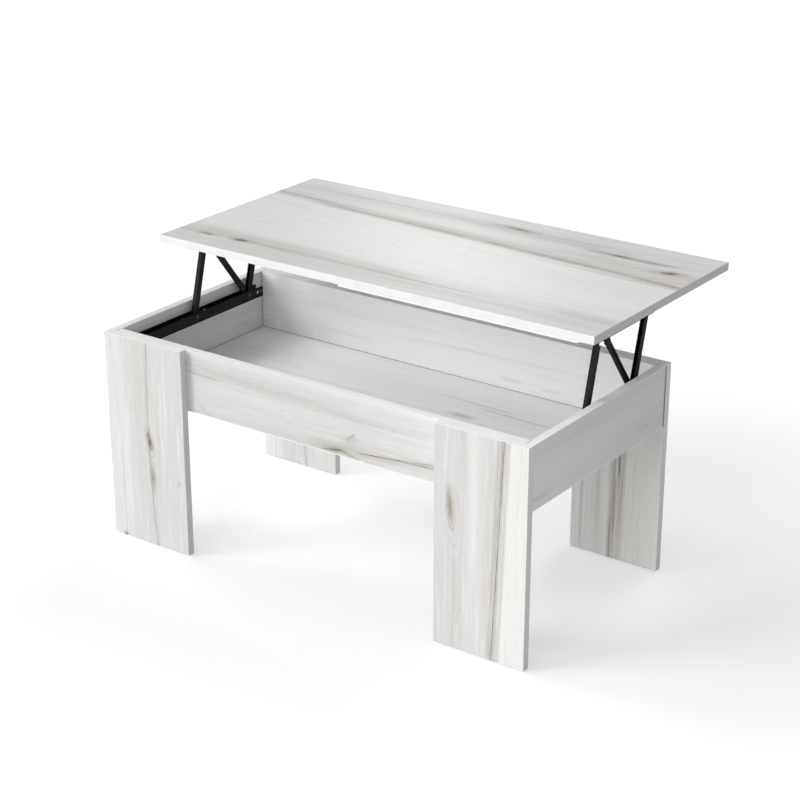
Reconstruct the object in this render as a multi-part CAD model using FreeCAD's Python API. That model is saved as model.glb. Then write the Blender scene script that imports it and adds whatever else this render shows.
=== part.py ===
import FreeCAD, Part
import math
import os

# Lift-top coffee table with its top raised and moved towards the sitting side (+Y).
# X runs along the table, Y across it, Z up, all in millimetres.
# Everything is drawn around the middle of the base on the floor, and save() then moves it
# along Y, so that the origin ends up under the middle of the whole raised table.

# ---- boards ----
BOARD = 16.0               # melamine-faced particle board, used for all panels but the bottom
EDGE_BAND = 0.8            # plastic band glued along the cut edges
BAND_ROUND = 0.5
TOP_LENGTH = 1000.0
TOP_DEPTH = 500.0
BASE_LENGTH = 977.0        # over the legs
BASE_DEPTH = 495.0
RIM_HEIGHT = 432.0         # upper edge of the box and of the legs
BOX_HEIGHT = 124.0         # aprons and side panels
LEG_WIDTH = 195.0
REAR_GAP = 3.0             # shadow gap between a side panel and the rear leg
BOTTOM_THICKNESS = 3.0
BOTTOM_INSET = 2.0
GLIDE_HEIGHT = 1.5

# ---- heights of the top ----
RAISED_HEIGHT = 579.0      # upper face of the top when raised
CLOSED_GAP = 2.0           # between the rim and the closed top

# ---- lift mechanism, one on each side ----
ARM_LENGTH = 150.0         # between the pivots of an arm
ARM_SPACING = 165.0        # between the front and the rear arm
FRONT_PIVOT_Y = -14.2
BASE_PIVOT_Z = 401.0
TOP_PIVOT_DROP = 16.8      # from the underside of the top to its pivots

RAIL_HALF_LENGTH = 195.0
RAIL_TOP = 409.0
RAIL_BOTTOM = 387.0
BRACKET_DEPTH = 24.0
BRACKET_END = 22.0         # bracket length beyond the outer pivots
SHEET = 1.5                # rail and bracket steel
RAIL_CORNER = 3.0
BRACKET_CORNER = 8.0
RAIL_ACCESS_HOLE_R = 3.6   # lets a screw's head through the inner wall
RAIL_SPARE_HOLE_R = 2.25

ARM_SHEET = 1.2
ARM_WEB_REACH = 8.5        # from the pivot line to the outside of the web
ARM_OPEN_REACH = 4.0       # from the pivot line to the open edge
ARM_EAR = 7.0
ARM_WEB_INSET = 5.0        # the web stops this far short of each pivot
ARM_BEND_ROUND = 1.0

STAY_WIDTH = 12.5
STAY_BAR_LENGTH = 170.0    # from the pivot to the free end
STAY_END_PLAY = 0.2
GUIDE_FROM_END = 12.0      # from the slotted bar's free end to the middle of its guide
GUIDE_LENGTH = 8.0
GUIDE_SHEET = 0.6
GUIDE_PLAY = 0.1

# Layers of the mechanism, measured inwards from the inner face of the side panel.
RAIL_LAYER = (0.0, 20.0)
BRACKET_LAYER = (3.0, 20.0)
ARM_LAYER = (8.5, 17.5)
LOWER_STAY_LAYER = (10.8, 12.8)
UPPER_STAY_LAYER = (13.2, 15.2)
RUNNING_GAP = 0.3          # between a spacer and the arm that turns beside it
HEAD_THICKNESS = 0.9
HEAD_ROUND = 0.55
GUIDE_HEAD_THICKNESS = 0.6
GUIDE_HEAD_GAP = 0.1
WASHER_LAYER = (17.7, 18.3)

PIN_R = 2.5
RUNNING_FIT = 0.05         # radial clearance of a pin in its hole
SPACER_R = 4.0
STAY_SPACER_R = 3.3
SLEEVE_R = 4.5
HEAD_R = 3.8
NOTCH_R = STAY_SPACER_R + 0.7
SLOT_R = PIN_R + 0.1

# ---- fasteners ----
DRY_FIT = 0.05             # radial clearance of a fixed fastener in its bore
RAIL_SCREW_Y = (-178.4, 28.7, 178.4)
RAIL_HOLE_Z = 399.0
RAIL_SPARE_HOLE_Y = (19.6, 188.6)
BRACKET_SCREW_FROM_PIVOT = (-14.0, 55.0, 110.0, 179.0)
DOWEL_R = 4.0
DOWEL_END_ROUND = 0.8
CAM_R = 7.5
CAM_DEPTH = 12.5
CAM_FROM_END = 34.0
CAM_BOLT_R = 3.0
CAM_BOLT_BORE_R = 4.0
CAM_RECESS_DEPTH = 1.5
CAM_THREAD_R = 2.5
CAM_THREAD_LENGTH = 11.0
CAM_ABOVE_BOTTOM = (37.0, 87.0)
CORNER_DOWEL_ABOVE_BOTTOM = 62.0
CORNER_DOWEL_LENGTHS = (15.0, 12.0)      # in the apron, in the side panel
LEG_DOWEL_HALF_LENGTH = 12.0
LEG_DOWEL_ABOVE_BOTTOM = 62.0
LEG_DOWEL_FROM_CENTRE = (-41.0, 19.0)    # outwards is positive
LEG_SCREW_ABOVE_BOTTOM = (12.0, 112.0)
LEG_SCREW_FROM_CENTRE = (-61.0, 39.0)
LEG_SCREW_LENGTH = 28.0
LEG_SCREW_R = 2.0
LEG_SCREW_HEAD_R = 4.0
CAP_R = 6.0
CAP_THICKNESS = 0.6
MOUNT_SCREW_LENGTH = 14.0  # the screws of the rails and of the brackets
MOUNT_SCREW_R = 1.75
MOUNT_SCREW_HEAD_R = 3.6
MOUNT_SCREW_HEAD = 2.2
SCREW_TIP_R = 0.3
SCREW_TIP_LENGTH = 3.0     # in radii of the shank
RECESS_HALF_LENGTH = 2.2
RECESS_HALF_WIDTH = 0.45
RECESS_SHARE = 0.6         # of the head's thickness
NAIL_R = 0.9
NAIL_LENGTH = 19.0
NAIL_HEAD_R = 2.4
NAIL_HEAD = 0.8
NAIL_SPACING_X = 146.5
NAIL_SPACING_Y = 150.0
GLIDE_R = 7.0
GLIDE_EDGE_ROUND = 0.6
GLIDE_FROM_CENTRE = 70.0
GLIDE_NAIL_R = 1.0
GLIDE_NAIL_LENGTH = 12.0

V = FreeCAD.Vector
X, Y, Z = V(1, 0, 0), V(0, 1, 0), V(0, 0, 1)

# ---- places that follow from the sizes above ----
BOX_BOTTOM = RIM_HEIGHT - BOX_HEIGHT
HALF_BASE = BASE_LENGTH / 2
SIDE_INNER = HALF_BASE - BOARD
APRON_OUTER = BASE_DEPTH / 2 - BOARD
APRON_INNER = APRON_OUTER - BOARD
LEG_CENTRE_X = HALF_BASE - LEG_WIDTH / 2

RAISED_UNDERSIDE = RAISED_HEIGHT - BOARD
RAISED_RISE = RAISED_UNDERSIDE - TOP_PIVOT_DROP - BASE_PIVOT_Z
CLOSED_RISE = RIM_HEIGHT + CLOSED_GAP - TOP_PIVOT_DROP - BASE_PIVOT_Z
RAISED_ANGLE = math.asin(RAISED_RISE / ARM_LENGTH)
CLOSED_ANGLE = math.pi - math.asin(CLOSED_RISE / ARM_LENGTH)
TOP_SHIFT = ARM_LENGTH * (math.cos(RAISED_ANGLE) - math.cos(CLOSED_ANGLE))
ORIGIN_Y = (TOP_SHIFT + TOP_DEPTH / 2 - BASE_DEPTH / 2) / 2

FRONT_BASE_PIVOT = V(0, FRONT_PIVOT_Y, BASE_PIVOT_Z)
REAR_BASE_PIVOT = FRONT_BASE_PIVOT + Y * ARM_SPACING
FRONT_TOP_PIVOT = FRONT_BASE_PIVOT + V(0, math.cos(RAISED_ANGLE), math.sin(RAISED_ANGLE)) * ARM_LENGTH
REAR_TOP_PIVOT = FRONT_TOP_PIVOT + Y * ARM_SPACING
# The stay runs from the rear base pivot to a point beside the front top pivot. This distance
# makes both its ends turn by exactly half the arm's angle.
STAY_PIVOT_OFFSET = ARM_SPACING - ARM_LENGTH
STAY_TOP_PIVOT = FRONT_TOP_PIVOT + Y * STAY_PIVOT_OFFSET
STAY_ANGLE = math.pi / 2 + RAISED_ANGLE / 2
STAY_RAISED = 2 * ARM_LENGTH * math.sin(RAISED_ANGLE / 2)
STAY_CLOSED = 2 * ARM_LENGTH * math.sin(CLOSED_ANGLE / 2)
STAY_GUIDE = STAY_BAR_LENGTH - STAY_WIDTH / 2


def box(x, y, z):
    """A block between the two values of each pair."""
    return Part.makeBox(x[1] - x[0], y[1] - y[0], z[1] - z[0], V(x[0], y[0], z[0]))


def rod(start, direction, length, radius):
    return Part.makeCylinder(radius, length, start, direction)


def round_edges(shape, radius, chosen):
    """Rounds the edges whose middle point satisfies chosen."""
    edges = [e for e in shape.Edges if chosen(e.CenterOfMass)]
    return shape.makeFillet(radius, edges)


def drilled(shape, bores):
    for bore in bores:
        shape = shape.cut(bore)
    return shape


def mirrored(shape):
    return shape.mirror(V(0, 0, 0), X)


def on_both_sides(shapes):
    """The given right-hand shapes and their left-hand mirror images."""
    return list(shapes) + [mirrored(s) for s in shapes]


def save(name, *shapes):
    for shape in shapes:
        if not shape.isValid() or shape.Volume <= 0:
            raise ValueError(f"{name} holds a bad solid")
    whole = shapes[0] if len(shapes) == 1 else Part.makeCompound(list(shapes))
    whole = whole.copy()
    whole.translate(V(0, -ORIGIN_Y, 0))
    whole.exportStep(f"parts/{name}.step")
    print(f"{name}: {len(whole.Solids)} solids, {whole.Volume / 1000:.2f} cm3")


# ---- fasteners ----
def cross_recess(centre, direction, depth):
    """Two crossed grooves for a screwdriver, cut from the head's face."""
    side = X if abs(direction.x) < 0.5 else Y
    other = direction.cross(side)
    grooves = []
    for along, across in ((side, other), (other, side)):
        corner = centre - along * RECESS_HALF_LENGTH - across * RECESS_HALF_WIDTH
        points = [corner, corner + along * 2 * RECESS_HALF_LENGTH]
        points += [p + across * 2 * RECESS_HALF_WIDTH for p in reversed(points)]
        face = Part.Face(Part.makePolygon(points + [corner]))
        grooves.append(face.extrude(direction * depth))
    return grooves[0].fuse(grooves[1])


def screw_shaft(start, direction, length, radius):
    """A plain shank with a pointed end."""
    tip = SCREW_TIP_LENGTH * radius
    shank = rod(start, direction, length - tip, radius)
    point = Part.makeCone(radius, SCREW_TIP_R, tip, start + direction * (length - tip), direction)
    return [shank, point]


def pan_screw(seat, direction, length, shank_r, head_r, head_height):
    """A wood screw whose head stands on the seat and whose shank points along direction."""
    head_face = seat - direction * head_height
    head = Part.makeCone(head_r * 0.75, head_r, head_height, head_face, direction)
    screw = head.fuse(screw_shaft(seat, direction, length, shank_r)).removeSplitter()
    return screw.cut(cross_recess(head_face, direction, head_height * RECESS_SHARE))


def countersunk_screw(seat, direction, length, shank_r, head_r):
    """A wood screw whose flat head is level with the seat."""
    sink = head_r - shank_r
    head = Part.makeCone(head_r, shank_r, sink, seat, direction)
    shaft = screw_shaft(seat + direction * sink, direction, length - sink, shank_r)
    screw = head.fuse(shaft).removeSplitter()
    return screw.cut(cross_recess(seat, direction, sink * RECESS_SHARE))


def screw_bore(seat, direction, length, shank_r):
    return rod(seat, direction, length + DRY_FIT, shank_r + DRY_FIT)


def countersunk_bore(seat, direction, length, shank_r, head_r):
    sink = head_r - shank_r
    mouth = Part.makeCone(head_r + DRY_FIT, shank_r + DRY_FIT, sink, seat, direction)
    return mouth.fuse(screw_bore(seat, direction, length, shank_r))


def dowel(start, direction, length):
    peg = rod(start, direction, length, DOWEL_R)
    return peg.makeFillet(DOWEL_END_ROUND, [e for e in peg.Edges if len(e.Vertexes) == 1])


# ---- the box ----
def corner_fasteners(found, sx, side_y):
    """Adds the cams, bolts and dowel that join one end of an apron to its side panel.

    The cams open towards the leg, which covers them.
    """
    out, inward = X * sx, Y * -side_y
    middle_y = side_y * (APRON_OUTER - BOARD / 2)
    for height in CAM_ABOVE_BOTTOM:
        z = BOX_BOTTOM + height
        cam_at = V(sx * (SIDE_INNER - CAM_FROM_END), side_y * APRON_OUTER, z)
        bolt_at = V(cam_at.x, middle_y, z)
        thread_at = bolt_at + out * CAM_FROM_END
        bore = rod(bolt_at - out * CAM_BOLT_BORE_R, out, CAM_FROM_END + CAM_BOLT_BORE_R, CAM_BOLT_BORE_R)
        cam = rod(cam_at, inward, CAM_DEPTH - DRY_FIT, CAM_R - DRY_FIT)
        found["cams"].append(cam.cut(bore).cut(cross_recess(cam_at, inward, CAM_RECESS_DEPTH)))
        bolt = rod(bolt_at, out, CAM_FROM_END, CAM_BOLT_R)
        bolt = bolt.fuse(rod(thread_at, out, CAM_THREAD_LENGTH, CAM_THREAD_R))
        found["bolts"].append(bolt.removeSplitter())
        found["apron_bores"] += [rod(cam_at, inward, CAM_DEPTH, CAM_R), bore]
        found["side_bores"].append(screw_bore(thread_at, out, CAM_THREAD_LENGTH, CAM_THREAD_R))
    in_apron, in_side = CORNER_DOWEL_LENGTHS
    start = V(sx * (SIDE_INNER - in_apron), middle_y, BOX_BOTTOM + CORNER_DOWEL_ABOVE_BOTTOM)
    found["dowels"].append(dowel(start, out, in_apron + in_side))
    bore = screw_bore(start - out * DRY_FIT, out, in_apron + in_side + DRY_FIT, DOWEL_R)
    found["apron_bores"].append(bore)
    found["side_bores"].append(bore)


def leg_fasteners(found, sx, side_y):
    """Adds the dowels, screws and caps that join one leg to its apron."""
    outward = Y * side_y
    length = 2 * LEG_DOWEL_HALF_LENGTH
    for offset in LEG_DOWEL_FROM_CENTRE:
        at = V(sx * (LEG_CENTRE_X + offset), side_y * (APRON_OUTER - LEG_DOWEL_HALF_LENGTH),
               BOX_BOTTOM + LEG_DOWEL_ABOVE_BOTTOM)
        found["leg_dowels"].append(dowel(at, outward, length))
        bore = screw_bore(at - outward * DRY_FIT, outward, length + DRY_FIT, DOWEL_R)
        found["apron_bores"].append(bore)
        found["leg_bores"].append(bore)
    size = (LEG_SCREW_LENGTH, LEG_SCREW_R, LEG_SCREW_HEAD_R)
    for offset in LEG_SCREW_FROM_CENTRE:
        for height in LEG_SCREW_ABOVE_BOTTOM:
            at = V(sx * (LEG_CENTRE_X + offset), side_y * APRON_INNER, BOX_BOTTOM + height)
            found["leg_screws"].append(countersunk_screw(at, outward, *size))
            found["caps"].append(rod(at, -outward, CAP_THICKNESS, CAP_R))
            bore = countersunk_bore(at, outward, *size)
            found["apron_bores"].append(bore)
            found["leg_bores"].append(bore)


def apron_fasteners(side_y):
    """The hardware of one apron and the bores that it needs, by name."""
    found = {"cams": [], "bolts": [], "dowels": [], "leg_dowels": [], "leg_screws": [], "caps": [],
             "apron_bores": [], "side_bores": [], "leg_bores": []}
    for sx in (-1, 1):
        corner_fasteners(found, sx, side_y)
        leg_fasteners(found, sx, side_y)
    return found


FRONT_HARDWARE = apron_fasteners(-1)
REAR_HARDWARE = apron_fasteners(1)


def all_hardware(name):
    return FRONT_HARDWARE[name] + REAR_HARDWARE[name]


def near(bores, shape):
    """The bores that reach into the shape's box."""
    return [b for b in bores if b.BoundBox.intersect(shape.BoundBox)]


def nail_places():
    middle_y = APRON_OUTER - BOARD / 2
    middle_x = HALF_BASE - BOARD / 2
    along = [V(step * NAIL_SPACING_X, side * middle_y, 0) for side in (-1, 1) for step in range(-3, 4)]
    across = [V(side * middle_x, step * NAIL_SPACING_Y, 0) for side in (-1, 1) for step in range(-1, 2)]
    underside = Z * (BOX_BOTTOM - BOTTOM_THICKNESS)
    return [place + underside for place in along + across]


def make_box():
    nail_bores = [screw_bore(at, Z, NAIL_LENGTH, NAIL_R) for at in nail_places()]
    core_top = RIM_HEIGHT - EDGE_BAND
    for name, side, hardware in (("front", -1, FRONT_HARDWARE), ("rear", 1, REAR_HARDWARE)):
        faces = sorted((side * APRON_INNER, side * APRON_OUTER))
        apron = box((-SIDE_INNER, SIDE_INNER), faces, (BOX_BOTTOM, core_top))
        save(f"{name}_apron", drilled(apron, hardware["apron_bores"] + near(nail_bores, apron)))
    side_y = (-APRON_OUTER, APRON_OUTER - REAR_GAP)
    panel = box((SIDE_INNER, HALF_BASE), side_y, (BOX_BOTTOM, core_top))
    bores = all_hardware("side_bores") + rail_screw_bores() + nail_bores
    panel = drilled(panel, near(bores, panel))
    save("right_side_panel", panel)
    save("left_side_panel", mirrored(panel))

    bottom = box((BOTTOM_INSET - HALF_BASE, HALF_BASE - BOTTOM_INSET),
                 (BOTTOM_INSET - APRON_OUTER, APRON_OUTER - BOTTOM_INSET),
                 (BOX_BOTTOM - BOTTOM_THICKNESS, BOX_BOTTOM))
    save("bottom_board", drilled(bottom, nail_bores))

    bands = [box((-SIDE_INNER, SIDE_INNER), sorted((side * APRON_INNER, side * APRON_OUTER)),
                 (core_top, RIM_HEIGHT)) for side in (-1, 1)]
    bands += on_both_sides([box((SIDE_INNER, HALF_BASE), side_y, (core_top, RIM_HEIGHT))])
    save("rim_edge_bands", *bands)

    nails = [rod(at, Z, NAIL_LENGTH, NAIL_R).fuse(rod(at - Z * NAIL_HEAD, Z, NAIL_HEAD, NAIL_HEAD_R))
             for at in nail_places()]
    save("bottom_nails", *nails)
    save("corner_cam_locks", *all_hardware("cams"))
    save("corner_cam_bolts", *all_hardware("bolts"))
    save("corner_dowels", *all_hardware("dowels"))
    save("leg_dowels", *all_hardware("leg_dowels"))
    save("leg_screws", *all_hardware("leg_screws"))
    save("leg_screw_caps", *all_hardware("caps"))


def make_legs():
    bands, glides = [], []
    core_top = RIM_HEIGHT - EDGE_BAND
    for y_name, sy in (("front", -1), ("rear", 1)):
        faces = sorted((sy * APRON_OUTER, sy * (APRON_OUTER + BOARD)))
        for x_name, sx in (("left", -1), ("right", 1)):
            inner, outer = LEG_CENTRE_X - LEG_WIDTH / 2, HALF_BASE
            core_x = sorted((sx * (inner + EDGE_BAND), sx * (outer - EDGE_BAND)))
            core = box(core_x, faces, (GLIDE_HEIGHT, core_top))
            nails = []
            for offset in (-GLIDE_FROM_CENTRE, GLIDE_FROM_CENTRE):
                at = V(sx * LEG_CENTRE_X + offset, sum(faces) / 2, 0)
                disc = rod(at, Z, GLIDE_HEIGHT, GLIDE_R)
                disc = round_edges(disc, GLIDE_EDGE_ROUND, lambda p: p.z < GLIDE_HEIGHT / 4)
                nail = (at, Z, GLIDE_HEIGHT + GLIDE_NAIL_LENGTH, GLIDE_NAIL_R)
                glides.append(disc.fuse(rod(*nail)).removeSplitter())
                nails.append(screw_bore(*nail))
            bores = near(all_hardware("leg_bores"), core) + nails
            save(f"{y_name}_{x_name}_leg", drilled(core, bores))
            for low, high in ((inner, inner + EDGE_BAND), (outer - EDGE_BAND, outer)):
                face_x = sx * (inner if low == inner else outer)
                band = box(sorted((sx * low, sx * high)), faces, (GLIDE_HEIGHT, RIM_HEIGHT))
                bands.append(round_edges(band, BAND_ROUND, lambda p: abs(p.x - face_x) < 0.01
                                         and abs(p.z - (GLIDE_HEIGHT + RIM_HEIGHT) / 2) < 1))
            bands.append(box(core_x, faces, (core_top, RIM_HEIGHT)))
    save("leg_edge_bands", *bands)
    save("leg_glides", *glides)


# ---- the mechanism, drawn for the right-hand side ----
def layer(first, last):
    """The X range of a layer between two distances from the side panel's inner face."""
    return SIDE_INNER - last, SIDE_INNER - first


def layer_rod(pivot, first, last, radius):
    start, end = layer(first, last)
    return rod(V(start, pivot.y, pivot.z), X, end - start, radius)


def layer_box(first, last, y, z):
    return box(layer(first, last), y, z)


def turned(shape, pivot, angle):
    """Moves a shape drawn from the origin along +Y to its pivot and angle."""
    shape = shape.copy()
    shape.rotate(V(0, 0, 0), X, math.degrees(angle))
    shape.translate(V(0, pivot.y, pivot.z))
    return shape


def rail_screw_seats():
    back = SIDE_INNER - SHEET
    return [V(back, y, RAIL_HOLE_Z) for y in RAIL_SCREW_Y]


def rail_screw_bores():
    bores = [screw_bore(at, X, MOUNT_SCREW_LENGTH, MOUNT_SCREW_R) for at in rail_screw_seats()]
    return on_both_sides(bores)


def base_rail():
    first, last = RAIL_LAYER
    y = (-RAIL_HALF_LENGTH, RAIL_HALF_LENGTH)
    rail = layer_box(first, last, y, (RAIL_BOTTOM, RAIL_TOP))
    rail = rail.cut(layer_box(first + SHEET, last - SHEET, y, (RAIL_BOTTOM + SHEET, RAIL_TOP)))
    rail = round_edges(rail, RAIL_CORNER, lambda p: abs(abs(p.y) - RAIL_HALF_LENGTH) < 0.01
                       and abs(p.z - RAIL_TOP) < 0.01)
    rail = round_edges(rail, ARM_BEND_ROUND, lambda p: abs(p.y) < 0.01 and abs(p.z - RAIL_BOTTOM) < 0.01)
    holes = [layer_rod(pivot, first, last, PIN_R + RUNNING_FIT)
             for pivot in (FRONT_BASE_PIVOT, REAR_BASE_PIVOT)]
    for y in RAIL_SCREW_Y:
        at = V(0, y, RAIL_HOLE_Z)
        holes.append(layer_rod(at, last - SHEET, last, RAIL_ACCESS_HOLE_R))
        holes.append(layer_rod(at, first, first + SHEET, MOUNT_SCREW_R + DRY_FIT))
    for y in RAIL_SPARE_HOLE_Y:
        holes.append(layer_rod(V(0, y, RAIL_HOLE_Z), last - SHEET, last, RAIL_SPARE_HOLE_R))
    return drilled(rail, holes)


def bracket_screw_seats():
    middle = SIDE_INNER - sum(BRACKET_LAYER) / 2
    return [V(middle, FRONT_TOP_PIVOT.y + offset, RAISED_UNDERSIDE - SHEET)
            for offset in BRACKET_SCREW_FROM_PIVOT]


def top_bracket():
    first, last = BRACKET_LAYER
    ends = (FRONT_TOP_PIVOT.y - BRACKET_END, REAR_TOP_PIVOT.y + BRACKET_END)
    low = RAISED_UNDERSIDE - BRACKET_DEPTH
    bracket = layer_box(first, last, ends, (low, RAISED_UNDERSIDE))
    bracket = bracket.cut(layer_box(first + SHEET, last - SHEET, ends, (low, RAISED_UNDERSIDE - SHEET)))
    bracket = round_edges(bracket, BRACKET_CORNER, lambda p: min(abs(p.y - e) for e in ends) < 0.01
                          and abs(p.z - low) < 0.01)
    middle = sum(ends) / 2
    bracket = round_edges(bracket, ARM_BEND_ROUND, lambda p: abs(p.y - middle) < 0.01
                          and abs(p.z - RAISED_UNDERSIDE) < 0.01)
    holes = [layer_rod(pivot, first, last, PIN_R + RUNNING_FIT)
             for pivot in (FRONT_TOP_PIVOT, REAR_TOP_PIVOT, STAY_TOP_PIVOT)]
    holes += [rod(seat, Z, SHEET, MOUNT_SCREW_R + DRY_FIT) for seat in bracket_screw_seats()]
    return drilled(bracket, holes)


def arm(notched):
    """A U-section arm along +Y from its base pivot, open downwards (-Z), before it is placed."""
    first, last = ARM_LAYER
    flanges = []
    for start, end in ((first, first + ARM_SHEET), (last - ARM_SHEET, last)):
        strip = layer_box(start, end, (0, ARM_LENGTH), (-ARM_OPEN_REACH, ARM_WEB_REACH))
        ears = [layer_rod(V(0, y, 0), start, end, ARM_EAR) for y in (0, ARM_LENGTH)]
        flanges.append(strip.fuse(ears))
    web = layer_box(first, last, (ARM_WEB_INSET, ARM_LENGTH - ARM_WEB_INSET),
                    (ARM_WEB_REACH - ARM_SHEET, ARM_WEB_REACH))
    shape = web.fuse(flanges).removeSplitter()
    holes = [layer_rod(V(0, y, 0), first, last, PIN_R + RUNNING_FIT) for y in (0, ARM_LENGTH)]
    if notched:
        # The stay's top rivet enters the flanges as the arm folds down.
        reach = STAY_PIVOT_OFFSET
        inside = V(0, ARM_LENGTH + reach * math.cos(CLOSED_ANGLE), -reach * math.sin(CLOSED_ANGLE))
        entry = math.asin((ARM_OPEN_REACH + STAY_SPACER_R) / reach)
        mouth = (inside.y - NOTCH_R, ARM_LENGTH - reach * math.cos(entry) + NOTCH_R)
        holes.append(layer_rod(inside, first, last, NOTCH_R))
        holes.append(layer_box(first, last, mouth, (-ARM_WEB_REACH, inside.z)))
    return drilled(shape, holes)


def stay_bar(at):
    """A flat bar along +Y from its pivot, not yet slotted or drilled at its free end."""
    first, last = at
    half = STAY_WIDTH / 2
    bar = layer_box(first, last, (0, STAY_GUIDE), (-half, half))
    bar = bar.fuse([layer_rod(V(0, y, 0), first, last, half) for y in (0, STAY_GUIDE)]).removeSplitter()
    return bar.cut(layer_rod(V(0, 0, 0), first, last, PIN_R + RUNNING_FIT))


def slotted_bar():
    """The lower bar of a stay. The ends of its slot are the stops of the whole motion."""
    first, last = LOWER_STAY_LAYER
    slot_ends = (STAY_RAISED - STAY_GUIDE - STAY_END_PLAY, STAY_CLOSED - STAY_GUIDE + STAY_END_PLAY)
    slot = [layer_box(first, last, slot_ends, (-SLOT_R, SLOT_R))]
    slot += [layer_rod(V(0, y, 0), first, last, SLOT_R) for y in slot_ends]
    return drilled(stay_bar(LOWER_STAY_LAYER), slot)


def plain_bar():
    """The upper bar of a stay, which carries the pin that slides in the slot."""
    return stay_bar(UPPER_STAY_LAYER).cut(layer_rod(V(0, STAY_GUIDE, 0), *UPPER_STAY_LAYER, PIN_R))


def slot_pin():
    """The headed pin at the plain bar's free end."""
    at = V(0, STAY_GUIDE, 0)
    end = LOWER_STAY_LAYER[0] - GUIDE_HEAD_GAP
    pin = layer_rod(at, end, UPPER_STAY_LAYER[1], PIN_R)
    return pin.fuse(layer_rod(at, end - GUIDE_HEAD_THICKNESS, end, SPACER_R)).removeSplitter()


def stay_guide():
    """The sheet loop on the slotted bar's free end, in which the plain bar slides."""
    middle = STAY_BAR_LENGTH - GUIDE_FROM_END
    y = (middle - GUIDE_LENGTH / 2, middle + GUIDE_LENGTH / 2)
    first, last = LOWER_STAY_LAYER[0], UPPER_STAY_LAYER[1] + GUIDE_PLAY
    half = STAY_WIDTH / 2 + GUIDE_PLAY
    outer = half + GUIDE_SHEET
    loop = layer_box(first - GUIDE_SHEET, last + GUIDE_SHEET, y, (-outer, outer))
    return loop.cut(layer_box(first, last, y, (-half, half)))


def headed(pivot, first, last):
    """A pin from first to last with a low round head on its inner end."""
    pin = layer_rod(pivot, first, last, PIN_R)
    head = layer_rod(pivot, last, last + HEAD_THICKNESS, HEAD_R)
    face = SIDE_INNER - last - HEAD_THICKNESS
    head = round_edges(head, HEAD_ROUND, lambda p: abs(p.x - face) < 0.01)
    return pin.fuse(head).removeSplitter()


def through_rivet(pivot, back, wall):
    """A rivet through both walls of a rail or bracket, with a shoulder that spaces the arm."""
    shoulder = layer_rod(pivot, back + SHEET, ARM_LAYER[0] - RUNNING_GAP, SPACER_R)
    return headed(pivot, back, wall).fuse(shoulder).removeSplitter()


def shoulder_stud(pivot, back):
    """A short stud in the back wall, ending flush inside the arm's flange."""
    shoulder = layer_rod(pivot, back + SHEET, ARM_LAYER[0] - RUNNING_GAP, SPACER_R)
    journal = layer_rod(pivot, back, ARM_LAYER[0] + ARM_SHEET - DRY_FIT, PIN_R)
    return journal.fuse(shoulder).removeSplitter()


def short_pin(pivot, wall):
    """A short headed pin in the inner wall, ending flush inside the arm's flange."""
    return headed(pivot, ARM_LAYER[1] - ARM_SHEET + DRY_FIT, wall)


def sleeve(pivot, first, last, outer):
    return layer_rod(pivot, first, last, outer).cut(layer_rod(pivot, first, last, PIN_R))


def stay_top_rivet():
    """A rivet through the bracket with a slim shoulder up to the upper stay bar."""
    back, wall = BRACKET_LAYER
    shoulder = layer_rod(STAY_TOP_PIVOT, back + SHEET, UPPER_STAY_LAYER[0] - GUIDE_HEAD_GAP, STAY_SPACER_R)
    return headed(STAY_TOP_PIVOT, back, wall).fuse(shoulder).removeSplitter()


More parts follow.
